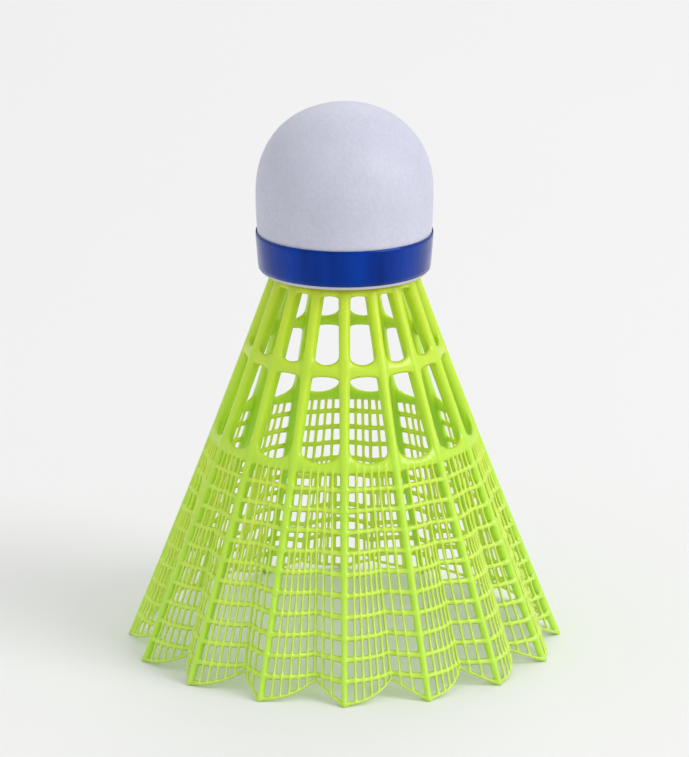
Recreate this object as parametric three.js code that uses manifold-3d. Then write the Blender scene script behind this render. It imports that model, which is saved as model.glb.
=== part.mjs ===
// Badminton shuttlecock with a moulded nylon skirt, standing on its rim with the cork up.
//
// Millimetres, +Z up. The origin is on the axis of the shuttlecock, level with the tips of
// the ribs. Lengths called "drop" run down the axis, from the rear face of the cork (drop 0)
// to the rib tips (drop SKIRT_LENGTH); a negative drop is inside the cork.

import * as THREE from 'three';
import { mergeVertices } from 'three/addons/utils/BufferGeometryUtils.js';
import Module from 'manifold-3d';

const wasm = await Module();
wasm.setup();

// ---------------------------------------------------------------- driving dimensions

// Skirt: a cone of ribs that flares a little towards the rim.
const RIB_COUNT = 16;
const SKIRT_LENGTH = 57.5;
const ROOT_RADIUS = 10.8;
const RIM_RADIUS = 33;
const CONE_FLARE = 0.0004;
const CONE_SLOPE = (RIM_RADIUS - ROOT_RADIUS) / SKIRT_LENGTH - CONE_FLARE * SKIRT_LENGTH;
const RIB_PITCH = (2 * Math.PI) / RIB_COUNT;

// Ribs: a trapezoid section with its wide side inwards, finer towards the rim.
const RIB_ROOT = { depth: 1.9, innerWidth: 1.9, outerWidth: 0.9 };
const RIB_TIP = { depth: 1.1, innerWidth: 1.1, outerWidth: 0.7 };
const RIB_SECTIONS = 3;

// Two rows of windows, with a cross ring below each.
const WINDOW_ROWS = [
  { start: 1.4, end: 10.9 },
  { start: 12.7, end: 24.3 },
];
const MESH_START = 26;
const WALL_INSET = 0.35;
const WALL_THICKNESS = 1.1;
const WINDOW_SIDE = 0.4;
const WINDOW_CORNER = 0.6;

// Pleated mesh: a fold between each two ribs, deeper towards the rim.
const MESH_THICKNESS = 0.8;
const FOLD_DEPTH = 3.2;
const FOLD_AT_MESH_START = 0.5;
const FOLD_AT_RIM = 0.38;
const FOLD_BULGE = 1.8;
const RIM_SCALLOP = 2.3;
const MESH_ROWS = 4;
const SHORT_SIDE_STEPS = 1;
const LONG_SIDE_STEPS = 2;

// Stem: the hollow plug of the skirt that is glued into the cork.
const STEM_MOUTH_RADIUS = 8.9;
const STEM_FLOOR_RADIUS = 6;
const STEM_DEPTH = 7.3;
const STEM_WALL = 0.9;
const STEM_FLOOR = 1;

// Base: cork, its cover, and the band of tape around the rear edge.
const BASE_LENGTH = 25.2;
const BASE_RADIUS = 13.25;
const BASE_REAR_RADIUS = 12.6;
const COVER_THICKNESS = 0.5;
const BAND_WIDTH = 5.5;
const BAND_THICKNESS = 0.15;
const BAND_SETBACK = 0.5;
const DOME_STEPS = 7;
const DOME_POWER = 2.15;

// Label on the floor of the stem.
const LABEL_RADIUS = 5.6;
const LABEL_THICKNESS = 0.25;

// Thin glue lines between the pieces.
const GLUE_GAP = 0.1;
const ROOT_GAP = 0.2;

const ROUND_SEGMENTS = 40;
const SKIRT_SEGMENTS = 2 * RIB_COUNT;
const CORNER_SEGMENTS = 4;

// ---------------------------------------------------------------- helpers

const heightOf = (drop) => SKIRT_LENGTH - drop;
const lerp = THREE.MathUtils.lerp;

// Radius of the outer edge of the ribs.
const skirtRadius = (drop) => ROOT_RADIUS + CONE_SLOPE * drop + CONE_FLARE * drop * drop;

// A ring or a domed solid turned about Z. Each profile point is [radius, height].
function turned(profile, segments) {
  const points = profile.map(([radius, height]) => new THREE.Vector2(radius, height));
  const geometry = new THREE.LatheGeometry(points, segments);
  return geometry.rotateX(Math.PI / 2);
}

// A skin over a row of sections, each a loop of points. A chain of sections is closed by
// flat ends, and a ring of sections by joining the last one to the first.
function lofted(sections, isRing) {
  const loop = sections[0].length;
  const positions = sections.flat().flatMap((point) => point.toArray());
  const indices = [];
  const spans = isRing ? sections.length : sections.length - 1;
  for (let i = 0; i < spans; i++) {
    const here = i * loop;
    const next = ((i + 1) % sections.length) * loop;
    for (let j = 0; j < loop; j++) {
      const k = (j + 1) % loop;
      indices.push(here + j, here + k, next + k);
      indices.push(here + j, next + k, next + j);
    }
  }
  if (!isRing) {
    const last = (sections.length - 1) * loop;
    for (let j = 1; j < loop - 1; j++) {
      indices.push(0, j + 1, j);
      indices.push(last, last + j, last + j + 1);
    }
  }
  const geometry = new THREE.BufferGeometry();
  geometry.setAttribute('position', new THREE.Float32BufferAttribute(positions, 3));
  geometry.setIndex(indices);
  return geometry;
}

// The geometry as a manifold solid, for joining and cutting.
function toSolid(geometry) {
  const bare = geometry.clone();
  bare.deleteAttribute('normal');
  bare.deleteAttribute('uv');
  const merged = mergeVertices(bare, 1e-4);
  const corners = merged.index.array;
  const triangles = [];
  for (let i = 0; i < corners.length; i += 3) {
    const [a, b, c] = [corners[i], corners[i + 1], corners[i + 2]];
    if (a !== b && b !== c && c !== a) triangles.push(a, b, c);
  }
  return new wasm.Manifold(new wasm.Mesh({
    numProp: 3,
    vertProperties: new Float32Array(merged.attributes.position.array),
    triVerts: new Uint32Array(triangles),
  }));
}

function toGeometry(solid) {
  const mesh = solid.getMesh();
  const geometry = new THREE.BufferGeometry();
  geometry.setAttribute('position', new THREE.BufferAttribute(mesh.vertProperties, 3));
  geometry.setIndex(new THREE.BufferAttribute(mesh.triVerts, 1));
  return geometry;
}

function piece(name, geometry, color, roughness) {
  geometry.computeVertexNormals();
  const material = new THREE.MeshStandardMaterial({ color, roughness, metalness: 0 });
  const mesh = new THREE.Mesh(geometry, material);
  mesh.name = name;
  return mesh;
}

// ---------------------------------------------------------------- base

// Profile of the base, offset inwards, from the rear edge round to the nose. The dome is a
// superellipse, a little blunter than a hemisphere, whose power is 2.
function basePoints(inset) {
  const centre = heightOf(0) + BASE_LENGTH - BASE_RADIUS;
  const points = [[BASE_REAR_RADIUS - inset, heightOf(0)]];
  for (let i = 0; i <= DOME_STEPS; i++) {
    const angle = (i / DOME_STEPS) * (Math.PI / 2);
    const radius = BASE_RADIUS - inset;
    const distance = i === DOME_STEPS ? 0 : radius * Math.cos(angle) ** (2 / DOME_POWER);
    points.push([distance, centre + radius * Math.sin(angle) ** (2 / DOME_POWER)]);
  }
  return points;
}

// Radius of the outside of the cover beside the band, at a height above the rear face.
function sideRadius(above) {
  return lerp(BASE_REAR_RADIUS, BASE_RADIUS, above / (BASE_LENGTH - BASE_RADIUS));
}

function stemOuterRadius(drop) {
  const inner = lerp(STEM_MOUTH_RADIUS, STEM_FLOOR_RADIUS, -drop / STEM_DEPTH);
  return inner + STEM_WALL;
}

function corkGeometry() {
  const bottom = -(STEM_DEPTH + STEM_FLOOR + ROOT_GAP);
  const profile = [
    [0, heightOf(bottom)],
    [stemOuterRadius(bottom) + ROOT_GAP, heightOf(bottom)],
    [stemOuterRadius(0) + ROOT_GAP, heightOf(0)],
    ...basePoints(COVER_THICKNESS + GLUE_GAP),
  ];
  return turned(profile, ROUND_SEGMENTS);
}

function coverGeometry() {
  const inner = basePoints(COVER_THICKNESS).reverse();
  return turned([...inner, ...basePoints(0)], ROUND_SEGMENTS);
}

function bandGeometry() {
  const low = BAND_SETBACK;
  const high = BAND_SETBACK + BAND_WIDTH;
  const inner = GLUE_GAP;
  const outer = GLUE_GAP + BAND_THICKNESS;
  const profile = [
    [sideRadius(low) + inner, heightOf(-low)],
    [sideRadius(low) + outer, heightOf(-low)],
    [sideRadius(high) + outer, heightOf(-high)],
    [sideRadius(high) + inner, heightOf(-high)],
    [sideRadius(low) + inner, heightOf(-low)],
  ];
  return turned(profile, ROUND_SEGMENTS);
}

function labelGeometry() {
  const top = heightOf(-STEM_DEPTH) - GLUE_GAP;
  const profile = [
    [0, top - LABEL_THICKNESS],
    [LABEL_RADIUS, top - LABEL_THICKNESS],
    [LABEL_RADIUS, top],
    [0, top],
  ];
  return turned(profile, ROUND_SEGMENTS);
}

// ---------------------------------------------------------------- skirt

// Stem and window wall in one turned solid, before the windows are cut.
function funnelGeometry() {
  const outside = (drop) => [skirtRadius(drop) - WALL_INSET, heightOf(drop)];
  const inside = (drop) => [skirtRadius(drop) - WALL_INSET - WALL_THICKNESS, heightOf(drop)];
  const [upper, lower] = WINDOW_ROWS;
  const profile = [
    [0, heightOf(-STEM_DEPTH)],
    [STEM_FLOOR_RADIUS, heightOf(-STEM_DEPTH)],
    [STEM_MOUTH_RADIUS, heightOf(0)],
    inside(upper.end),
    inside(MESH_START),
    outside(MESH_START),
    outside(lower.start),
    outside(ROOT_GAP),
    [stemOuterRadius(ROOT_GAP), heightOf(ROOT_GAP)],
    [stemOuterRadius(-STEM_DEPTH), heightOf(-STEM_DEPTH)],
    [stemOuterRadius(-STEM_DEPTH) - STEM_FLOOR / 2, heightOf(-STEM_DEPTH - STEM_FLOOR)],
    [0, heightOf(-STEM_DEPTH - STEM_FLOOR)],
  ];
  return turned(profile, SKIRT_SEGMENTS);
}

// One rib along +X. Its sections are level, so its tip is a flat foot at height 0.
function ribGeometry() {
  const sections = [];
  for (let i = 0; i < RIB_SECTIONS; i++) {
    const t = i / (RIB_SECTIONS - 1);
    const drop = lerp(ROOT_GAP, SKIRT_LENGTH, t);
    const outer = skirtRadius(drop);
    const inner = outer - lerp(RIB_ROOT.depth, RIB_TIP.depth, t);
    const halfInner = lerp(RIB_ROOT.innerWidth, RIB_TIP.innerWidth, t) / 2;
    const halfOuter = lerp(RIB_ROOT.outerWidth, RIB_TIP.outerWidth, t) / 2;
    sections.push([
      new THREE.Vector3(inner, -halfInner, heightOf(drop)),
      new THREE.Vector3(inner, halfInner, heightOf(drop)),
      new THREE.Vector3(outer, halfOuter, heightOf(drop)),
      new THREE.Vector3(outer, -halfOuter, heightOf(drop)),
    ]);
  }
  return lofted(sections, false);
}

// Cutter for one window, half a pitch from +X: square at the cork end, round at the other.
function windowGeometry({ start, end }) {
  const halfWidth = (drop) => {
    const middle = skirtRadius(drop) - WALL_INSET - WALL_THICKNESS / 2;
    return middle * Math.sin(RIB_PITCH / 2) - WINDOW_SIDE;
  };
  const narrow = halfWidth(start);
  const wide = halfWidth(end);
  const arcCentre = heightOf(end - wide);
  const shape = new THREE.Shape();
  shape.moveTo(narrow - WINDOW_CORNER, heightOf(start));
  shape.lineTo(-narrow + WINDOW_CORNER, heightOf(start));
  shape.lineTo(-narrow, heightOf(start + WINDOW_CORNER));
  shape.lineTo(-wide, arcCentre);
  shape.absarc(0, arcCentre, wide, Math.PI, 2 * Math.PI, false);
  shape.lineTo(narrow, heightOf(start + WINDOW_CORNER));
  const depth = 2 * WALL_THICKNESS + CONE_SLOPE * (end - start) + WALL_INSET;
  const options = { depth, bevelEnabled: false, curveSegments: CORNER_SEGMENTS };
  const geometry = new THREE.ExtrudeGeometry(shape, options);
  geometry.rotateX(Math.PI / 2);
  geometry.rotateZ(Math.PI / 2);
  geometry.translate(skirtRadius(start) - WALL_INSET - 1.5 * WALL_THICKNESS, 0, 0);
  return geometry.rotateZ(RIB_PITCH / 2);
}

// How far the mesh folds in, from 0 at a rib to 1 at the fold, at a fraction of the pitch.
function foldAmount(fraction, foldAt) {
  if (fraction <= foldAt) return fraction / foldAt;
  return Math.pow((1 - fraction) / (1 - foldAt), FOLD_BULGE);
}

// Upright loop through the pleated mesh wall, at a place between two ribs.
function meshSection(rib, place) {
  const outside = [];
  const inside = [];
  for (let row = 0; row < MESH_ROWS; row++) {
    const t = row / (MESH_ROWS - 1);
    const foldAt = lerp(FOLD_AT_MESH_START, FOLD_AT_RIM, t);
    const fraction = place < 1 ? place * foldAt : foldAt + (place - 1) * (1 - foldAt);
    const fold = foldAmount(fraction, foldAt);
    const rimDrop = SKIRT_LENGTH - RIM_SCALLOP * fold;
    const drop = lerp(MESH_START - WALL_THICKNESS, rimDrop, t);
    const angle = (rib - fraction) * RIB_PITCH;
    const radius = skirtRadius(drop) - WALL_INSET - FOLD_DEPTH * t * fold;
    for (const [points, r] of [[outside, radius], [inside, radius - MESH_THICKNESS]]) {
      points.push(new THREE.Vector3(r * Math.cos(angle), r * Math.sin(angle), heightOf(drop)));
    }
  }
  return [...inside, ...outside.reverse()];
}

function meshWallGeometry() {
  const places = [];
  for (let i = 0; i < SHORT_SIDE_STEPS; i++) places.push(i / SHORT_SIDE_STEPS);
  for (let i = 0; i < LONG_SIDE_STEPS; i++) places.push(1 + i / LONG_SIDE_STEPS);
  const sections = [];
  for (let rib = 0; rib < RIB_COUNT; rib++) {
    for (const place of places) sections.push(meshSection(-rib, place));
  }
  return lofted(sections, true);
}

function skirtGeometry() {
  const windows = [];
  const ribs = [];
  const rib = ribGeometry();
  const cutters = WINDOW_ROWS.map(windowGeometry);
  for (let i = 0; i < RIB_COUNT; i++) {
    const angle = i * RIB_PITCH;
    ribs.push(toSolid(rib.clone().rotateZ(angle)));
    for (const cutter of cutters) windows.push(toSolid(cutter.clone().rotateZ(angle)));
  }
  let solid = toSolid(funnelGeometry());
  for (const window of windows) solid = solid.subtract(window);
  solid = solid.add(toSolid(meshWallGeometry()));
  for (const one of ribs) solid = solid.add(one);
  return toGeometry(solid);
}

// ---------------------------------------------------------------- assembly

const shuttlecock = new THREE.Group();
shuttlecock.add(piece('cork_base', corkGeometry(), 0xb9713a, 0.85));
shuttlecock.add(piece('leather_cover', coverGeometry(), 0xf0eff2, 0.55));
shuttlecock.add(piece('blue_band', bandGeometry(), 0x0a3f9c, 0.25));
shuttlecock.add(piece('skirt', skirtGeometry(), 0xc2e51a, 0.4));
shuttlecock.add(piece('label_disc', labelGeometry(), 0x111111, 0.35));

export default shuttlecock;
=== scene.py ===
import math
import random

import bmesh
import bpy
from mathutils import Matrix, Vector, noise


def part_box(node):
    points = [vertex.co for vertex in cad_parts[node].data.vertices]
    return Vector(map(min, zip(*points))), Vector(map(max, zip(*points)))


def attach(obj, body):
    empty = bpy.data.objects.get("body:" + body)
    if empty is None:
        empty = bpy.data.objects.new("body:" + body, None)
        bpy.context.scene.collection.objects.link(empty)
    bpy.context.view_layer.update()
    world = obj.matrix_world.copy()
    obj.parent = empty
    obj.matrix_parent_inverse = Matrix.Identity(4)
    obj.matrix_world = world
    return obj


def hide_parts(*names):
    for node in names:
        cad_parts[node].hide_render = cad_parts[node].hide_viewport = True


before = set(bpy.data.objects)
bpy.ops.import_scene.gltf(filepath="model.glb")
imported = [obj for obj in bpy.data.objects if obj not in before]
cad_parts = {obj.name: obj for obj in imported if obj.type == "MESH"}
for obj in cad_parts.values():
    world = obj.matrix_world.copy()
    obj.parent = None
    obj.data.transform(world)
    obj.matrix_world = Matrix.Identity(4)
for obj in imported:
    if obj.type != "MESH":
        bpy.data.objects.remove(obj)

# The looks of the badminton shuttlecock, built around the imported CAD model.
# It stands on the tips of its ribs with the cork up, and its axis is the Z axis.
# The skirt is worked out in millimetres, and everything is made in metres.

MM = 0.001
TAU = 2 * math.pi

# ------------------------------------------------------------------ places, from the frame

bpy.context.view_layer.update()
COVER_LOW, COVER_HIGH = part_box("leather_cover")
BAND_LOW, BAND_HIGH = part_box("blue_band")
LABEL_LOW, LABEL_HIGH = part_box("label_disc")
SKIRT_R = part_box("skirt")[1].x

REAR_Z = COVER_LOW.z
NOSE_Z = COVER_HIGH.z
BASE_R = COVER_HIGH.x
DOME_Z = NOSE_Z - BASE_R

# The dome is a superellipse, a little blunter than a hemisphere, whose power is 2.
DOME_POWER = 2.15
BASE_REAR_R = 12.6 * MM
COVER_THICK = 0.5 * MM
GLUE_GAP = 0.1 * MM


def lerp(a, b, t):
    return a + (b - a) * t


def clamp(value, low=0.0, high=1.0):
    return max(low, min(high, value))


# ------------------------------------------------------------------ mesh helpers

def new_object(name, verts, faces, material, node, levels=0):
    """A piece of the shuttlecock that stands for one CAD node."""
    mesh = bpy.data.meshes.new(name)
    mesh.from_pydata([tuple(v) for v in verts], [], faces)
    mesh.validate()
    work = bmesh.new()
    work.from_mesh(mesh)
    bmesh.ops.recalc_face_normals(work, faces=work.faces)
    if work.calc_volume(signed=True) < 0:
        bmesh.ops.reverse_faces(work, faces=work.faces)
    work.to_mesh(mesh)
    work.free()
    mesh.polygons.foreach_set("use_smooth", [True] * len(mesh.polygons))
    mesh.materials.append(material)
    piece = bpy.data.objects.new(name, mesh)
    bpy.context.scene.collection.objects.link(piece)
    if levels:
        smooth = piece.modifiers.new("smooth", "SUBSURF")
        smooth.levels = levels
        smooth.render_levels = levels
    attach(piece, "root")
    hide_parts(node)
    return piece


def turned(profile, segments, shift=None):
    """Vertices and faces of a profile of (radius, height) points turned about Z.

    A profile that starts and ends on the axis makes a solid, and any other one is closed
    on itself. shift moves each vertex, which is given as a Vector.
    """
    on_axis = profile[0][0] == 0
    verts, rows = [], []
    for radius, height in profile:
        if radius == 0:
            rows.append([len(verts)] * segments)
            verts.append(Vector((0, 0, height)))
            continue
        rows.append(list(range(len(verts), len(verts) + segments)))
        for i in range(segments):
            angle = TAU * i / segments
            verts.append(Vector((radius * math.cos(angle), radius * math.sin(angle), height)))
    if shift:
        verts = [shift(v) for v in verts]
    faces = []
    pairs = list(zip(rows, rows[1:]))
    if not on_axis:
        pairs.append((rows[-1], rows[0]))
    for low, high in pairs:
        for i in range(segments):
            j = (i + 1) % segments
            ring = [low[i], low[j], high[j], high[i]]
            faces.append(list(dict.fromkeys(ring)))
    return verts, faces


# ------------------------------------------------------------------ skirt: shape

RIBS = 16
PITCH = TAU / RIBS
LENGTH = REAR_Z / MM
RIM_R = SKIRT_R / MM
ROOT_R = 10.8
FLARE = 0.0004
SLOPE = (RIM_R - ROOT_R) / LENGTH - FLARE * LENGTH

# Drops, in millimetres below the rear face of the cork. The net has LINES cross lines.
COLLAR_DROP = 0.95
RING_A_DROP = 11.8
RING_B_DROP = 25.2
LAST_LINE_DROP = 54.0
LINES = 10
FINE_FROM_LINE = 4

# The net lies inside the ribs' outer edges by SURFACE_INSET, and is pleated: the fold lies
# inwards, part of the way round from one rib to the next, and the rim is cut back there.
SURFACE_INSET = 0.6
FOLD_DEPTH = 3.1
FOLD_AT_TOP = 0.5
FOLD_AT_RIM = 0.38
FOLD_BULGE = 1.8
RIM_SCALLOP = 2.3
RIM_SETBACK = 0.45

# Hollow stem: (drop, radius) along its inside and its outside, from the collar to its floor.
# Inside, flutes stand in line with the ribs until the stem is too narrow for them.
STEM_MOUTH_R = 8.9
STEM_DEPTH = 7.3
STEM_INSIDE = [
    (0.25, STEM_MOUTH_R + 0.08), (-0.9, 8.55), (-3.4, 7.55),
    (-6.6, 6.28), (-7.2, 5.95), (-STEM_DEPTH, 5.3), (-STEM_DEPTH, 0.0),
]
STEM_OUTSIDE = [
    (0.25, 10.4), (0.2, STEM_MOUTH_R + 0.95), (-0.4, STEM_MOUTH_R + 0.75),
    (-STEM_DEPTH, 6.9), (-STEM_DEPTH - 0.85, 6.5), (-STEM_DEPTH - 0.95, 0.0),
]
STEM_FLUTES_ABOVE_R = 6.0
FLUTE_HEIGHT = 0.3

# How sharp the edges and corners of the net's holes stay when the skirt is smoothed. The net
# is taken to start NET_MARGIN above the middle of its top ring.
NET_MARGIN = 0.5
WALL_CREASE = 0.3
CORNER_CREASE = 0.25

# Small differences between the panels and between the ribs, as moulded nylon has.
random.seed(16)
PANEL_DEPTH = [random.uniform(0.93, 1.0) for _ in range(RIBS)]
RIB_DEPTH_TRIM = [random.uniform(0.0, 0.15) for _ in range(RIBS)]


def cone_radius(drop):
    """Radius of the ribs' outer edges."""
    return ROOT_R + SLOPE * drop + FLARE * drop * drop


def down_net(drop):
    """0 where the net starts and 1 at the rim."""
    return clamp((drop - RING_B_DROP) / (LENGTH - RING_B_DROP))


def rib_size(drop):
    """Section of a rib: half widths of its ridge, flanks and inner face, and its depth."""
    t = clamp(drop / LENGTH)
    return {key: lerp(RIB_AT_CORK[key], RIB_AT_RIM[key], t) for key in RIB_AT_CORK}


def rib_half_share(drop):
    """Half of a rib's width, as a share of the pitch."""
    return rib_size(drop)["flank"] / (cone_radius(drop) * PITCH)


def fraction(place, drop):
    """Share of the pitch at a place: 0 at a rib, 1 at the fold, 2 at the next rib.

    Between the ribs, places are shared out over the clear width."""
    if place == 0:
        return 0.0
    edge = rib_half_share(drop)
    fold = lerp(FOLD_AT_TOP, FOLD_AT_RIM, down_net(drop))
    if place <= 1:
        return lerp(edge, fold, place)
    return lerp(fold, 1 - edge, place - 1)


def fold_amount(place):
    """How far the net folds in: 0 at the ribs and 1 at the fold."""
    if place <= 1:
        return max(place, 0.0)
    return max(2 - place, 0.0) ** FOLD_BULGE


def skin(panel, place, drop):
    """Point of the pleated cone that the net and the ribs follow."""
    depth = FOLD_DEPTH * down_net(drop) * PANEL_DEPTH[panel % RIBS] * fold_amount(place)
    trim_here = RIB_DEPTH_TRIM[panel % RIBS]
    trim_next = RIB_DEPTH_TRIM[(panel + 1) % RIBS]
    trim = lerp(trim_here, trim_next, fraction(place, drop)) * down_net(drop) ** 2
    radius = cone_radius(drop) - SURFACE_INSET - depth - trim
    angle = -(panel + fraction(place, drop)) * PITCH
    return Vector((radius * math.cos(angle), radius * math.sin(angle), LENGTH - drop))


# Step between the points that give the slope of the pleated cone.
AXIS_STEP = 0.02


def skin_axes(panel, place, drop):
    """Directions on the pleated cone: along the line, and out of the surface."""
    if place == 0:
        angle = -panel * PITCH
        outward = Vector((math.cos(angle), math.sin(angle), 0))
        return Vector((math.sin(angle), -math.cos(angle), 0)), outward
    before = skin(panel, max(place - AXIS_STEP, 0), drop)
    after = skin(panel, min(place + AXIS_STEP, 2), drop)
    along = (after - before).normalized()
    above = skin(panel, place, drop - AXIS_STEP)
    down = (skin(panel, place, drop + AXIS_STEP) - above).normalized()
    outward = along.cross(down)
    if outward.dot(Vector((before.x, before.y, 0))) < 0:
        outward = -outward
    return along, outward.normalized()


def on_skin(panel, place, drop, offset=0.0, height=0.0):
    """Point beside a place, by an offset along the line and a height above the surface."""
    along, outward = skin_axes(panel, place, drop)
    return skin(panel, place, drop) + along * offset + outward * height


# ------------------------------------------------------------------ skirt: ribs and lines

# Rib section, at the cork and at the rim: half widths of its outer ridge, its flanks and
# its inner face, and its depth below the ridge.
RIB_AT_CORK = {"ridge": 0.50, "flank": 0.82, "inner": 0.98, "depth": 2.2}
RIB_AT_RIM = {"ridge": 0.24, "flank": 0.43, "inner": 0.46, "depth": 1.15}

FILAMENT = {"half": 0.225, "height": 0.42}
FOLD_FILAMENT = {"half": 0.26, "height": 0.48}

# A stretch of rib between two rows that is longer than this gets sections in between.
LONG_RIB_STRETCH = 4.0

# How thick the nylon is, from 0 to 1, for its colour: thin filaments let more light through.
THICK_RIB = 1.0
THICK_LINE = 0.45
THICK_FILAMENT = 0.0


class Row:
    """A cross ring or line of the skirt: its drop, its half widths towards the cork and
    the rim, its thickness, and how far the window corners beside the ribs are filled."""

    def __init__(self, drop, up, down, outer, inner=0.0, fill_up=0.0, fill_down=0.0):
        self.drop = drop
        self.up = up
        self.down = down
        self.outer = outer
        self.inner = inner
        self.fill_up = fill_up
        self.fill_down = fill_down
        self.above = []
        self.below = []
        self.plain = []
        self.is_rim = False

    def drop_at(self, place):
        """Drop of the row's middle: the rim is scalloped, and the others are level."""
        if not self.is_rim:
            return self.drop
        return self.drop - RIM_SCALLOP * fold_amount(place)


# Places of the filaments of a panel, where 0 is a rib, 1 the fold and 2 the next rib. The
# long side of the fold has more of them from FINE_FROM_LINE on. PLAIN and PLAIN_AT_RIBS are
# extra points that round the windows.
COARSE = [k / 6 for k in (2, 4, 6, 8, 10)]
FINE = [k / 6 for k in (2, 4, 6, 7, 8, 9, 10, 11)]
PLAIN = [0.12, 0.35, 0.68, 1.0, 1.32, 1.65, 1.88]
PLAIN_AT_RIBS = [0.1, 1.9]

# Half width, height and corner filling of the net's cross lines and of its rim wire.
LINE_HALF, LINE_HEIGHT = 0.405, 0.6
RIM_HALF, RIM_HEIGHT = 0.27, 0.45
NET_FILL = 0.08


def skirt_rows():
    """The rings and lines from the cork to the rim, each with its filaments' places."""
    collar = Row(COLLAR_DROP, 0.7, 0.65, 0.35, 0.5, fill_down=0.6)
    collar.plain = PLAIN
    ring_a = Row(RING_A_DROP, 1.1, 1.1, 0.6, 0.75, fill_up=1.9, fill_down=0.8)
    ring_a.plain = PLAIN
    ring_b = Row(RING_B_DROP, 0.9, 0.85, 0.6, 0.6, fill_up=2.9, fill_down=0.1)
    ring_b.below = COARSE
    ring_b.plain = PLAIN_AT_RIBS
    rows = [collar, ring_a, ring_b]
    for k in range(1, LINES + 1):
        drop = lerp(RING_B_DROP, LAST_LINE_DROP, k / LINES)
        line = Row(drop, LINE_HALF, LINE_HALF, LINE_HEIGHT, fill_up=NET_FILL, fill_down=NET_FILL)
        line.above = COARSE if k <= FINE_FROM_LINE else FINE
        line.below = COARSE if k < FINE_FROM_LINE else FINE
        rows.append(line)
    rim = Row(LENGTH - RIM_SETBACK, RIM_HALF, RIM_HALF, RIM_HEIGHT, fill_up=NET_FILL)
    rim.is_rim = True
    rim.above = FINE
    rows.append(rim)
    return rows


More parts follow.
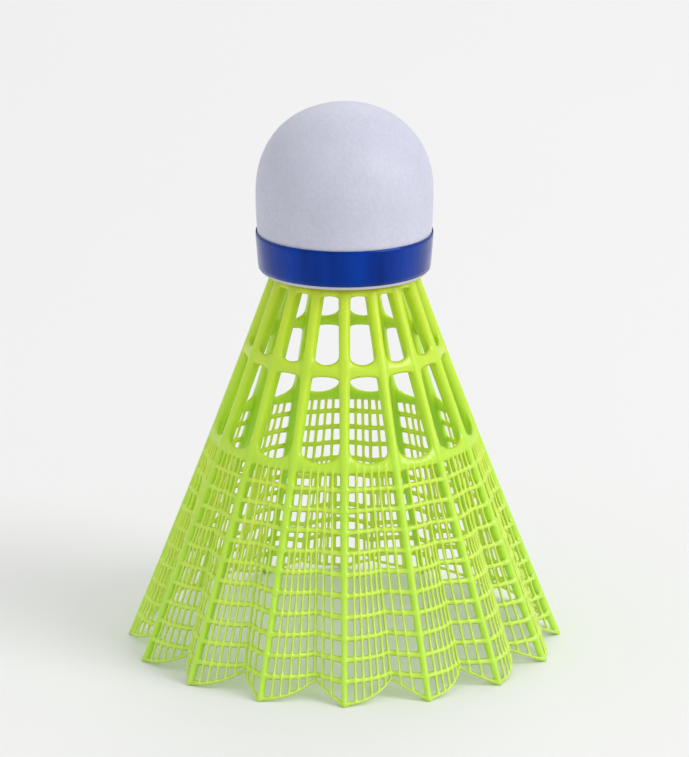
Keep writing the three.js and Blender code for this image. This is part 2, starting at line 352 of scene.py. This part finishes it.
class Skirt:
    """Builds the whole moulding as one closed mesh of rows of stations."""

    def __init__(self):
        self.verts = []
        self.thick = []
        self.faces = []
        self.sides = []

    def vertex(self, point, thick=THICK_RIB):
        self.verts.append(point)
        self.thick.append(thick)
        return len(self.verts) - 1

    def face(self, side, *corners):
        """Adds a face of the outside, side 0, or of the inside, side 1."""
        ring = list(dict.fromkeys(c for c in corners if c is not None))
        if len(ring) > 2:
            self.faces.append(ring)
            self.sides.append(side)

    # A station is one column of a row: part "L", "M" or "R" of a member (a rib has two
    # middles, "M" and "N"), or "P" for a plain point of the ring with no member.
    def station_list(self, row):
        stations = []
        members = set(row.above) | set(row.below)
        for panel in range(RIBS):
            for part in "LMNR":
                stations.append({"panel": panel, "place": 0, "part": part, "rib": True})
            for place in sorted(members | set(row.plain)):
                for part in "LMR" if place in members else "P":
                    stations.append({"panel": panel, "place": place, "part": part, "rib": False})
        return stations

    def rib_point(self, panel, drop, part, side):
        """Corner of a rib's section: side is "outer", "inner" or "flank"."""
        size = rib_size(drop)
        sign = -1 if part in "LM" else 1
        if side == "flank":
            return on_skin(panel, 0, drop, sign * size["flank"])
        if side == "outer":
            return on_skin(panel, 0, drop, sign * size["ridge"], SURFACE_INSET)
        return on_skin(panel, 0, drop, sign * size["inner"], SURFACE_INSET - size["depth"])

    def fill(self, row, station, amount):
        """Extra width of a ring that rounds the window corners beside the ribs."""
        if not amount:
            return 0.0
        if station["rib"]:
            return amount
        pitch = cone_radius(row.drop) * PITCH
        here = fraction(station["place"], row.drop) + self.offset(station) / pitch
        share = clamp(abs(here - 0.5) / (0.5 - rib_half_share(row.drop)))
        return amount * (1 - math.sqrt(1 - share * share))

    def offset(self, station):
        """Distance of a filament's part from the filament's middle."""
        size = FOLD_FILAMENT if station["place"] == 1.0 else FILAMENT
        return {"L": -size["half"], "R": size["half"]}.get(station["part"], 0.0)

    def make_row(self, row):
        """Gives each station of a row its vertices: up, mid and down, each as a pair of
        an outer and an inner one, which are the same vertex on the edge of a hole."""
        stations = self.station_list(row)
        for s in stations:
            panel, place, part = s["panel"], s["place"], s["part"]
            mid = row.drop_at(place if s["rib"] else self.true_place(s, row.drop))
            up = mid - row.up - self.fill(row, s, row.fill_up)
            down = mid + row.down + self.fill(row, s, row.fill_down)
            if s["rib"]:
                if row.is_rim:
                    down = LENGTH
                for key, drop in (("up", up), ("down", down)):
                    s[key] = self.rib_station(panel, drop, part)
                s["mid"] = self.rib_station(panel, mid, part, row)
                continue
            size = FOLD_FILAMENT if place == 1.0 else FILAMENT
            thick = THICK_RIB if row.inner else THICK_LINE
            offset = self.offset(s)
            for key, drop, members in (("up", up, row.above), ("down", down, row.below)):
                if part == "M" and place in members:
                    top = on_skin(panel, place, drop, 0, size["height"])
                    s[key] = (self.vertex(top, THICK_FILAMENT), None)
                else:
                    edge = self.vertex(on_skin(panel, place, drop, offset), thick)
                    s[key] = (edge, edge)
            outer = self.vertex(on_skin(panel, place, mid, offset, row.outer), thick)
            inner = None
            if row.inner and part != "M":
                inner = self.vertex(on_skin(panel, place, mid, offset, -row.inner), thick)
            s["mid"] = (outer, inner)
        return stations

    def true_place(self, station, drop):
        """Place of a filament's part: its edges lie a little to each side."""
        place = station["place"]
        before = place if place < 1 else place - 0.5
        span = (fraction(before + 0.5, drop) - fraction(before, drop)) * 2
        return place + self.offset(station) / (span * cone_radius(drop) * PITCH)

    def rib_station(self, panel, drop, part, row=None):
        """Vertices of a rib's corner. On a ring's middle its flanks take the ring's
        thickness."""
        if part in "LR" and row is None:
            corner = self.vertex(self.rib_point(panel, drop, part, "flank"))
            return (corner, corner)
        if part in "LR":
            half = rib_size(drop)["flank"]
            offset = -half if part == "L" else half
            outer = self.vertex(on_skin(panel, 0, drop, offset, row.outer))
            inner = None
            if row.inner:
                inner = self.vertex(on_skin(panel, 0, drop, offset, -row.inner))
            return (outer, inner)
        outer = self.vertex(self.rib_point(panel, drop, part, "outer"))
        inner = self.vertex(self.rib_point(panel, drop, part, "inner"))
        return (outer, inner)

    def ring_faces(self, stations):
        """Skin of a ring or line. Its inside skips the middles of the filaments."""
        count = len(stations)
        for i in range(count):
            a, b = stations[i], stations[(i + 1) % count]
            self.face(0, a["up"][0], b["up"][0], b["mid"][0], a["mid"][0])
            self.face(0, a["mid"][0], b["mid"][0], b["down"][0], a["down"][0])
        anchors = [i for i in range(count) if stations[i]["rib"] or stations[i]["part"] != "M"]
        for k, i in enumerate(anchors):
            j = anchors[(k + 1) % len(anchors)]
            a, b = stations[i], stations[j]
            between = stations[i + 1] if (i + 1) % count != j else None
            up_mid = between["up"][1] if between else None
            down_mid = between["down"][1] if between else None
            has_middle = a["mid"][1] is not None and b["mid"][1] is not None
            if has_middle:
                self.face(1, a["up"][1], up_mid, b["up"][1], b["mid"][1], a["mid"][1])
                self.face(1, a["mid"][1], b["mid"][1], b["down"][1], down_mid, a["down"][1])
            else:
                self.face(
                    1, a["up"][1], up_mid, b["up"][1], b["mid"][1],
                    b["down"][1], down_mid, a["down"][1], a["mid"][1],
                )

    def member_faces(self, upper, lower):
        """Skin of the ribs and filaments that run from one row to the next."""
        below = {self.member_key(s): s for s in lower}
        groups = {}
        for s in upper:
            if s["part"] != "P" and self.member_key(s) in below:
                groups.setdefault((s["panel"], s["place"]), []).append(s)
        for (panel, place), group in groups.items():
            if not self.runs_between(place, upper, lower):
                continue
            tops = [s["down"] for s in group]
            ends = [below[self.member_key(s)]["up"] for s in group]
            if place == 0:
                self.rib_faces(panel, tops, ends)
            else:
                self.strip(tops, ends, 0)
                self.face(1, tops[0][1], tops[2][1], ends[2][1], ends[0][1])

    def member_key(self, s):
        return (s["panel"], s["place"], s["part"])

    def runs_between(self, place, upper, lower):
        if place == 0:
            return True
        return place in self.below_of[id(upper)] and place in self.above_of[id(lower)]

    def strip(self, tops, ends, side):
        """Faces of one side between two rows of vertex pairs."""
        for k in range(len(tops) - 1):
            self.face(side, tops[k][side], tops[k + 1][side], ends[k + 1][side], ends[k][side])

    def rib_faces(self, panel, tops, ends):
        """A rib between two rows, with two more sections where the stretch is long."""
        top_drop = LENGTH - self.verts[tops[1][0]].z
        end_drop = LENGTH - self.verts[ends[1][0]].z
        steps = 3 if end_drop - top_drop > LONG_RIB_STRETCH else 1
        previous = tops
        for k in range(1, steps):
            drop = lerp(top_drop, end_drop, k / steps)
            here = [self.rib_station(panel, drop, part) for part in "LMNR"]
            self.strip(previous, here, 0)
            self.strip(previous, here, 1)
            previous = here
        self.strip(previous, ends, 0)
        self.strip(previous, ends, 1)

    def rib_feet(self, stations):
        """Flat foot at the tip of each rib."""
        for i, s in enumerate(stations):
            if not (s["rib"] and s["part"] == "L"):
                continue
            left, m, n, right = (stations[i + k]["down"] for k in range(4))
            self.face(0, left[0], m[0], n[0], right[0], n[1], m[1])

    def stem(self, stations):
        """Turns the collar's upper edge into the hollow stem that plugs into the cork."""
        for side, profile in ((0, STEM_OUTSIDE), (1, STEM_INSIDE)):
            loops = []
            for step, (drop, radius) in enumerate(profile):
                loops.append(self.stem_loop(stations, drop, radius, side, step))
            for s, vertex in zip(stations, loops[0]):
                pair = list(s["up"])
                pair[side] = vertex
                s["up"] = tuple(pair)
            for upper, lower in zip(loops, loops[1:]):
                for i in range(len(upper)):
                    j = (i + 1) % len(upper)
                    self.face(side, upper[i], upper[j], lower[j], lower[i])

    def stem_loop(self, stations, drop, radius, side, step):
        """One loop of the stem, with a vertex in line with each station of the collar."""
        if radius == 0.0:
            centre = self.vertex(Vector((0, 0, LENGTH - drop)))
            return [centre] * len(stations)
        loop = []
        for s in stations:
            point = skin(s["panel"], s["place"], COLLAR_DROP)
            angle = math.atan2(point.y, point.x)
            r = radius
            if s["rib"]:
                half = RIB_AT_CORK["ridge" if s["part"] in "MN" else "flank"]
                angle -= (-half if s["part"] in "LM" else half) / radius
            if s["rib"] and s["part"] in "MN":
                if side == 0 and step == 0:
                    r = cone_radius(drop)
                if side == 1 and radius > STEM_FLUTES_ABOVE_R:
                    r = radius - FLUTE_HEIGHT
            place = Vector((r * math.cos(angle), r * math.sin(angle), LENGTH - drop))
            loop.append(self.vertex(place))
        return loop

    def build(self):
        rows = skirt_rows()
        made = [self.make_row(row) for row in rows]
        self.below_of = {id(m): row.below for row, m in zip(rows, made)}
        self.above_of = {id(m): row.above for row, m in zip(rows, made)}
        self.stem(made[0])
        for stations in made:
            self.ring_faces(stations)
        for upper, lower in zip(made, made[1:]):
            self.member_faces(upper, lower)
        self.rib_feet(made[-1])
        return self

    def wall_edges(self):
        """Edges of the net where its outside meets its inside."""
        sides = {}
        for face, side in zip(self.faces, self.sides):
            for a, b in zip(face, face[1:] + face[:1]):
                sides.setdefault((min(a, b), max(a, b)), set()).add(side)
        net_top = LENGTH - RING_B_DROP + NET_MARGIN
        return [
            edge for edge, found in sides.items()
            if len(found) == 2 and all(self.verts[v].z < net_top for v in edge)
        ]


# ------------------------------------------------------------------ materials

def node_material(name, color, roughness):
    """A material, its node tree and its shader."""
    material = bpy.data.materials.new(name)
    material.use_nodes = True
    shader = material.node_tree.nodes["Principled BSDF"]
    shader.inputs["Base Color"].default_value = (*color, 1)
    shader.inputs["Roughness"].default_value = roughness
    return material, material.node_tree, shader


def add_node(tree, kind, **inputs):
    node = tree.nodes.new(kind)
    for key, value in inputs.items():
        node.inputs[key.replace("_", " ")].default_value = value
    return node


def noise_node(tree, scale, detail, stretch=1.0):
    """Noise in object coordinates. A stretch below 1 draws it out along Z."""
    coordinates = tree.nodes.new("ShaderNodeTexCoord")
    mapping = tree.nodes.new("ShaderNodeMapping")
    mapping.inputs["Scale"].default_value = (1.0, 1.0, stretch)
    texture = add_node(tree, "ShaderNodeTexNoise", Scale=scale, Detail=detail)
    tree.links.new(coordinates.outputs["Object"], mapping.inputs["Vector"])
    tree.links.new(mapping.outputs["Vector"], texture.inputs["Vector"])
    return texture


def ramp_node(tree, source, stops):
    ramp = tree.nodes.new("ShaderNodeValToRGB")
    elements = ramp.color_ramp.elements
    while len(elements) < len(stops):
        elements.new(0.5)
    for element, (position, color) in zip(elements, stops):
        element.position = position
        element.color = (*color, 1)
    tree.links.new(source, ramp.inputs["Fac"])
    return ramp


def bump_node(tree, shader, height, strength, distance):
    bump = add_node(tree, "ShaderNodeBump", Strength=strength, Distance=distance)
    tree.links.new(height, bump.inputs["Height"])
    tree.links.new(bump.outputs["Normal"], shader.inputs["Normal"])
    return bump


def object_axis(tree, axis):
    """One axis of the object coordinates."""
    coordinates = tree.nodes.new("ShaderNodeTexCoord")
    split = tree.nodes.new("ShaderNodeSeparateXYZ")
    tree.links.new(coordinates.outputs["Object"], split.inputs["Vector"])
    return split.outputs[axis]


def multiply_color(tree, a, b):
    mix = tree.nodes.new("ShaderNodeMix")
    mix.data_type = "RGBA"
    mix.blend_type = "MULTIPLY"
    mix.inputs["Factor"].default_value = 1.0
    tree.links.new(a, mix.inputs["A"])
    tree.links.new(b, mix.inputs["B"])
    return mix.outputs["Result"]


def nylon_material():
    """Fluorescent yellow-green nylon: yellower near the cork, and paler where it is thin."""
    material, tree, shader = node_material("nylon", (0.5, 0.8, 0.02), 0.32)
    shader.inputs["Specular IOR Level"].default_value = 0.85
    height = tree.nodes.new("ShaderNodeMapRange")
    height.inputs["From Max"].default_value = REAR_Z
    tree.links.new(object_axis(tree, "Z"), height.inputs["Value"])
    tone = ramp_node(tree, height.outputs["Result"], [
        (0.0, (0.57, 0.91, 0.10)), (0.5, (0.59, 0.89, 0.05)), (1.0, (0.68, 0.85, 0.006)),
    ])
    mottle = noise_node(tree, 90.0, 3.0)
    patches = ramp_node(tree, mottle.outputs["Fac"], [
        (0.3, (0.92, 0.95, 0.9)), (0.7, (1.0, 1.0, 1.0)),
    ])
    thick = tree.nodes.new("ShaderNodeAttribute")
    thick.attribute_name = "thick"
    depth = ramp_node(tree, thick.outputs["Fac"], [
        (0.0, (1.05, 1.03, 1.5)), (0.45, (0.98, 0.98, 1.0)), (1.0, (0.88, 0.91, 0.6)),
    ])
    color = multiply_color(tree, tone.outputs["Color"], patches.outputs["Color"])
    color = multiply_color(tree, color, depth.outputs["Color"])
    tree.links.new(color, shader.inputs["Base Color"])
    shader.inputs["Subsurface Weight"].default_value = 0.6
    shader.inputs["Subsurface Radius"].default_value = (1.0, 1.0, 0.2)
    shader.inputs["Subsurface Scale"].default_value = 0.002
    grain = noise_node(tree, 1400.0, 2.0)
    bump_node(tree, shader, grain.outputs["Fac"], 0.12, 0.00005)
    return material


def cover_material():
    """White synthetic leather with a fine pebbled grain, its colour set below white and tinted
    lavender-grey as painted shade.
    """
    material, tree, shader = node_material("white_leather", (0.63, 0.64, 0.75), 0.52)
    coordinates = tree.nodes.new("ShaderNodeTexCoord")
    cells = add_node(tree, "ShaderNodeTexVoronoi", Scale=1700.0)
    cells.feature = "SMOOTH_F1"
    tree.links.new(coordinates.outputs["Object"], cells.inputs["Vector"])
    wide = noise_node(tree, 120.0, 4.0)
    # The leather is white. Its colours here are dimmed and tinted lavender-grey as painted shade,
    # and the spread between them is a random tone.
    tone = ramp_node(tree, wide.outputs["Fac"], [
        (0.3, (0.57, 0.58, 0.70)), (0.7, (0.62, 0.63, 0.745)),
    ])
    pits = ramp_node(tree, cells.outputs["Distance"], [
        (0.1, (1.0, 1.0, 1.0)), (0.75, (0.93, 0.93, 0.94)),
    ])
    color = multiply_color(tree, tone.outputs["Color"], pits.outputs["Color"])
    tree.links.new(color, shader.inputs["Base Color"])
    shader.inputs["Sheen Weight"].default_value = 0.08
    bump_node(tree, shader, cells.outputs["Distance"], 0.6, 0.00008)
    return material


def band_material():
    """Deep blue plastic tape, glossy, with faint ripples and with painted highlights: light and
    dark bands along the axis in its colour, standing in for reflections.
    """
    material, tree, shader = node_material("blue_tape", (0.0, 0.025, 0.27), 0.2)
    shader.inputs["Specular IOR Level"].default_value = 0.7
    shader.inputs["Specular Tint"].default_value = (0.03, 0.24, 1.0, 1)
    shader.inputs["Coat Weight"].default_value = 0.12
    shader.inputs["Coat Roughness"].default_value = 0.08
    # Painted highlights: noise drawn out along the axis puts light and dark bands into the tape's
    # colour, standing in for reflected light. The same noise varies the gloss.
    painted_highlight_streaks = noise_node(tree, 190.0, 3.0, stretch=0.12)
    tone = ramp_node(tree, painted_highlight_streaks.outputs["Fac"], [
        (0.3, (0.0, 0.007, 0.13)), (0.7, (0.0, 0.032, 0.31)),
    ])
    tree.links.new(tone.outputs["Color"], shader.inputs["Base Color"])
    gloss = tree.nodes.new("ShaderNodeMapRange")
    gloss.inputs["To Min"].default_value = 0.12
    gloss.inputs["To Max"].default_value = 0.34
    tree.links.new(painted_highlight_streaks.outputs["Fac"], gloss.inputs["Value"])
    tree.links.new(gloss.outputs["Result"], shader.inputs["Roughness"])
    ripples = noise_node(tree, 330.0, 2.0, stretch=0.35)
    bump_node(tree, shader, ripples.outputs["Fac"], 0.35, 0.0002)
    return material


def cork_material():
    """Pressed granules of orange-brown cork, with dark gaps and specks."""
    material, tree, shader = node_material("cork", (0.45, 0.2, 0.06), 0.85)
    coordinates = tree.nodes.new("ShaderNodeTexCoord")
    warp = noise_node(tree, 900.0, 2.0)
    shift = add_node(tree, "ShaderNodeVectorMath")
    shift.operation = "MULTIPLY_ADD"
    shift.inputs[1].default_value = (0.0011, 0.0011, 0.0011)
    tree.links.new(warp.outputs["Color"], shift.inputs[0])
    tree.links.new(coordinates.outputs["Object"], shift.inputs[2])
    grains = add_node(tree, "ShaderNodeTexVoronoi", Scale=1150.0)
    gaps = add_node(tree, "ShaderNodeTexVoronoi", Scale=1150.0)
    gaps.feature = "DISTANCE_TO_EDGE"
    for texture in (grains, gaps):
        tree.links.new(shift.outputs["Vector"], texture.inputs["Vector"])
    tone = ramp_node(tree, grains.outputs["Color"], [
        (0.0, (0.24, 0.07, 0.008)), (0.22, (0.52, 0.18, 0.018)),
        (0.6, (0.70, 0.29, 0.045)), (1.0, (0.80, 0.42, 0.10)),
    ])
    seams = ramp_node(tree, gaps.outputs["Distance"], [
        (0.0, (0.42, 0.33, 0.25)), (0.10, (1.0, 1.0, 1.0)),
    ])
    color = multiply_color(tree, tone.outputs["Color"], seams.outputs["Color"])
    tree.links.new(color, shader.inputs["Base Color"])
    bump_node(tree, shader, gaps.outputs["Distance"], 0.8, 0.0004)
    return material


def near(tree, value, centre, half):
    """1 where a value is within half of centre, and 0 elsewhere."""
    node = tree.nodes.new("ShaderNodeMath")
    node.operation = "COMPARE"
    node.inputs[1].default_value = centre
    node.inputs[2].default_value = half
    tree.links.new(value, node.inputs[0])
    return node.outputs["Value"]


def combined(tree, operation, a, b):
    """Result of a math operation on two sockets."""
    node = tree.nodes.new("ShaderNodeMath")
    node.operation = operation
    tree.links.new(a, node.inputs[0])
    tree.links.new(b, node.inputs[1])
    return node.outputs["Value"]


# Marks on the label, in millimetres: middle in Y, half width and half height.
LABEL_MARKS = [(-1.9, 0.45, 0.45), (-0.35, 3.0, 0.28), (1.25, 3.0, 0.85)]


def label_material():
    """Black printed disc with plain pale marks: a dot above a thin and a thick bar."""
    material, tree, shader = node_material("black_label", (0.008, 0.008, 0.01), 0.3)
    x = object_axis(tree, "X")
    y = object_axis(tree, "Y")
    marks = None
    for centre_y, half_x, half_y in LABEL_MARKS:
        across = near(tree, x, 0.0, half_x * MM)
        along = near(tree, y, centre_y * MM, half_y * MM)
        bar = combined(tree, "MULTIPLY", across, along)
        marks = bar if marks is None else combined(tree, "MAXIMUM", marks, bar)
    ink = ramp_node(tree, marks, [(0.0, (0.008, 0.008, 0.010)), (1.0, (0.62, 0.65, 0.58))])
    tree.links.new(ink.outputs["Color"], shader.inputs["Base Color"])
    grain = noise_node(tree, 900.0, 2.0)
    bump_node(tree, shader, grain.outputs["Fac"], 0.1, 0.00005)
    return material


# ------------------------------------------------------------------ base pieces

# How the side of the base widens from its rear edge to the dome.
SIDE_POWER = 0.9


def side_radius(z):
    """Outer radius of the cover between its rear edge and the dome."""
    t = clamp((z - REAR_Z) / (DOME_Z - REAR_Z))
    return lerp(BASE_REAR_R, BASE_R, math.sin(t * math.pi / 2) ** SIDE_POWER)


def base_profile(inset, dome_steps=36, side_steps=12):
    """Outline of the base from its rear edge to the nose, moved inwards by inset."""
    points = []
    for i in range(side_steps):
        z = lerp(REAR_Z, DOME_Z, i / side_steps)
        points.append((side_radius(z) - inset, z))
    for i in range(dome_steps + 1):
        angle = (math.pi / 2) * i / dome_steps
        across = 0 if i == dome_steps else math.cos(angle) ** (2 / DOME_POWER)
        along = math.sin(angle) ** (2 / DOME_POWER)
        points.append(((BASE_R - inset) * across, DOME_Z + (BASE_R - inset) * along))
    return points


# Waviness of the cover, in millimetres, and how tightly it changes over its surface. The
# cover is set in by the height of its wide waves, so that they stay inside the CAD box.
WIDE_WAVE, WIDE_WAVE_SCALE = 0.06, 160
FINE_WAVE, FINE_WAVE_SCALE = 0.02, 620
COVER_EDGE = 0.12 * MM
COVER_SEGMENTS = 144


def make_cover():
    """Leather skin, with its cut edge at the rear rounded."""
    def shift(v):
        wide = noise.noise(v * WIDE_WAVE_SCALE) * WIDE_WAVE
        wave = wide + noise.noise(v * FINE_WAVE_SCALE) * FINE_WAVE
        away = Vector((v.x, v.y, max(v.z - DOME_Z, 0)))
        return v + away.normalized() * ((wave - WIDE_WAVE) * MM)

    outer = base_profile(0)
    outer[0] = (outer[0][0] - COVER_EDGE, outer[0][1])
    outer.insert(1, (side_radius(REAR_Z + COVER_EDGE), REAR_Z + COVER_EDGE))
    inner = base_profile(COVER_THICK, dome_steps=14, side_steps=3)
    verts, faces = turned(list(reversed(inner)) + outer, COVER_SEGMENTS, shift)
    return new_object("cover", verts, faces, cover_material(), "leather_cover")


# Bore of the cork for the skirt's stem, and the roughness of the cork's rear face.
BORE_R = (STEM_MOUTH_R + 1.1) * MM
BORE_FLOOR_R = 7.1 * MM
BORE_FLOOR_Z = REAR_Z + (STEM_DEPTH + 1.2) * MM
BORE_EDGE_DEPTH = 0.3 * MM
BORE_EDGE_WIDTH = 0.15 * MM
CORK_ROUGHNESS = 0.10 * MM
CORK_ROUGHNESS_SCALE = 1100
CORK_FACE_STEPS = 8
CORK_SEGMENTS = 200


def make_cork():
    """Cork with a blind bore. Its rear face is pitted, and only inwards."""
    def shift(v):
        if abs(v.z - REAR_Z) > CORK_ROUGHNESS:
            return v
        pit = abs(noise.noise(v * CORK_ROUGHNESS_SCALE)) * CORK_ROUGHNESS
        return v + Vector((0, 0, pit))

    profile = [
        (0, BORE_FLOOR_Z), (BORE_FLOOR_R, BORE_FLOOR_Z),
        (BORE_R - BORE_EDGE_WIDTH, REAR_Z + BORE_EDGE_DEPTH),
    ]
    rim = BASE_REAR_R - COVER_THICK - GLUE_GAP
    for i in range(CORK_FACE_STEPS + 1):
        profile.append((lerp(BORE_R, rim, i / CORK_FACE_STEPS), REAR_Z))
    profile += base_profile(COVER_THICK + GLUE_GAP, dome_steps=12, side_steps=4)[1:]
    verts, faces = turned(profile, CORK_SEGMENTS, shift)
    return new_object("cork", verts, faces, cork_material(), "cork_base")


# The tape: it starts at TAPE_START, laps over itself by TAPE_LAP, and climbs onto its own
# start over TAPE_CLIMB. Its ripples and rounded edges are TAPE_RELIEF high.
TAPE_START = math.radians(118)
TAPE_LAP = math.radians(9)
TAPE_CLIMB = math.radians(2)
TAPE_THICK = 0.12 * MM
TAPE_LIFT = 1.1 * TAPE_THICK
TAPE_RELIEF = 0.04 * MM
TAPE_RIPPLE_SCALE = 3
TAPE_GAP = 0.06 * MM
TAPE_SEGMENTS = 180
TAPE_STEPS = 10


def tape_loop(turn):
    """Section of the tape after a turn: up its outer face and down its inner one."""
    lift = clamp((turn - TAU + TAPE_CLIMB) / TAPE_CLIMB) * TAPE_LIFT
    angle = turn + TAPE_START
    around = Vector((math.cos(angle), math.sin(angle), 0))
    loop = []
    for j in range(TAPE_STEPS + 1):
        t = j / TAPE_STEPS
        z = lerp(BAND_LOW.z, BAND_HIGH.z, t)
        ripple = noise.noise((around + Vector((0, 0, t))) * TAPE_RIPPLE_SCALE)
        edge = TAPE_RELIEF if j in (0, TAPE_STEPS) else 0.0
        thick = TAPE_THICK - edge + ripple * TAPE_RELIEF
        radius = side_radius(z) + TAPE_GAP + lift + thick
        loop.append(around * radius + Vector((0, 0, z)))
    for j in range(TAPE_STEPS, -1, -1):
        z = lerp(BAND_LOW.z, BAND_HIGH.z, j / TAPE_STEPS)
        radius = side_radius(z) + TAPE_GAP + lift
        loop.append(around * radius + Vector((0, 0, z)))
    return loop


def make_band():
    """Tape wound once round the base, with its end lapped over its start."""
    verts, faces, loops = [], [], []
    for i in range(TAPE_SEGMENTS + 1):
        section = tape_loop((TAU + TAPE_LAP) * i / TAPE_SEGMENTS)
        loops.append(list(range(len(verts), len(verts) + len(section))))
        verts += section
    for a, b in zip(loops, loops[1:]):
        for j in range(len(a)):
            k = (j + 1) % len(a)
            faces.append([a[j], a[k], b[k], b[j]])
    faces.append(list(loops[0]))
    faces.append(list(reversed(loops[-1])))
    return new_object("band", verts, faces, band_material(), "blue_band")


LABEL_BEVEL = 0.06 * MM
LABEL_RINGS = 12
LABEL_SEGMENTS = 96


def make_label():
    """Printed disc on the floor of the stem, with its edges rounded."""
    low, high, radius = LABEL_LOW.z, LABEL_HIGH.z, LABEL_HIGH.x
    flat = radius - LABEL_BEVEL
    profile = [(0, low)]
    for i in range(1, LABEL_RINGS + 1):
        profile.append((flat * i / LABEL_RINGS, low))
    profile += [
        (radius, low + LABEL_BEVEL), (radius, high - LABEL_BEVEL), (flat, high), (0, high),
    ]
    verts, faces = turned(profile, LABEL_SEGMENTS)
    return new_object("label", verts, faces, label_material(), "label_disc")


def make_skirt():
    """The moulding, smoothed by one subdivision that keeps its net's holes square."""
    skirt = Skirt().build()
    piece = new_object(
        "nylon_skirt", [v * MM for v in skirt.verts], skirt.faces, nylon_material(),
        "skirt", levels=1,
    )
    piece.modifiers["smooth"].use_limit_surface = False
    mesh = piece.data
    walls = set(skirt.wall_edges())
    creased = [tuple(sorted(edge.vertices)) in walls for edge in mesh.edges]
    edges = mesh.attributes.new("crease_edge", "FLOAT", "EDGE")
    edges.data.foreach_set("value", [WALL_CREASE if c else 0.0 for c in creased])
    corners = {v for edge in walls for v in edge}
    points = mesh.attributes.new("crease_vert", "FLOAT", "POINT")
    values = [CORNER_CREASE if i in corners else 0.0 for i in range(len(mesh.vertices))]
    points.data.foreach_set("value", values)
    thick = mesh.attributes.new("thick", "FLOAT", "POINT")
    thick.data.foreach_set("value", skirt.thick)
    return piece


# ------------------------------------------------------------------ studio

# Metres and watts, about the origin. The camera looks from the front and a little above.
SKY_STRENGTH = 0.77
FLOOR_HALF = 3.0
LIGHT_SIZE = 1.0
LIGHTS = [("key", (1.24, -0.60, 1.10), 13.6), ("back", (0.2, 1.4, 1.2), 4.0)]

CAMERA_ELEVATION = math.radians(16)
CAMERA_DISTANCE = 0.70
CAMERA_LENS = 222
CAMERA_SENSOR = 36
CAMERA_TARGET = Vector((0, 0, 0.0405))


def make_studio():
    world = bpy.data.worlds.new("studio")
    world.use_nodes = True
    tree = world.node_tree
    coordinates = tree.nodes.new("ShaderNodeTexCoord")
    split = tree.nodes.new("ShaderNodeSeparateXYZ")
    tree.links.new(coordinates.outputs["Generated"], split.inputs["Vector"])
    sky = ramp_node(tree, split.outputs["Z"], [
        (0.0, (0.86, 0.86, 0.86)), (1.0, (1.0, 1.0, 1.0)),
    ])
    background = tree.nodes["Background"]
    background.inputs["Strength"].default_value = SKY_STRENGTH
    tree.links.new(sky.outputs["Color"], background.inputs["Color"])
    bpy.context.scene.world = world

    mesh = bpy.data.meshes.new("floor")
    corners = [(x * FLOOR_HALF, y * FLOOR_HALF, 0) for x, y in ((-1, -1), (1, -1), (1, 1), (-1, 1))]
    mesh.from_pydata(corners, [], [(0, 1, 2, 3)])
    floor = bpy.data.objects.new("floor", mesh)
    bpy.context.scene.collection.objects.link(floor)
    material, tree, shader = node_material("pale_floor", (0.86, 0.86, 0.86), 0.9)
    shader.inputs["Specular IOR Level"].default_value = 0.0
    cloudy = noise_node(tree, 4.0, 2.0)
    tone = ramp_node(tree, cloudy.outputs["Fac"], [
        (0.0, (0.85, 0.85, 0.85)), (1.0, (0.87, 0.87, 0.87)),
    ])
    tree.links.new(tone.outputs["Color"], shader.inputs["Base Color"])
    mesh.materials.append(material)

    target = Vector((0, 0, NOSE_Z / 2))
    for name, place, watts in LIGHTS:
        data = bpy.data.lights.new(name, "AREA")
        data.size = LIGHT_SIZE
        data.energy = watts
        light = bpy.data.objects.new(name, data)
        light.location = place
        light.rotation_euler = (target - Vector(place)).to_track_quat("-Z", "Y").to_euler()
        bpy.context.scene.collection.objects.link(light)


def make_camera():
    data = bpy.data.cameras.new("camera")
    data.lens = CAMERA_LENS
    data.sensor_width = CAMERA_SENSOR
    camera = bpy.data.objects.new("camera", data)
    away = Vector((0, -math.cos(CAMERA_ELEVATION), math.sin(CAMERA_ELEVATION)))
    camera.location = CAMERA_TARGET + away * CAMERA_DISTANCE
    camera.rotation_euler = (-away).to_track_quat("-Z", "Y").to_euler()
    bpy.context.scene.collection.objects.link(camera)
    bpy.context.scene.camera = camera
    bpy.context.scene.view_settings.view_transform = "Standard"


make_camera()
make_studio()
make_skirt()
make_cover()
make_cork()
make_band()
make_label()
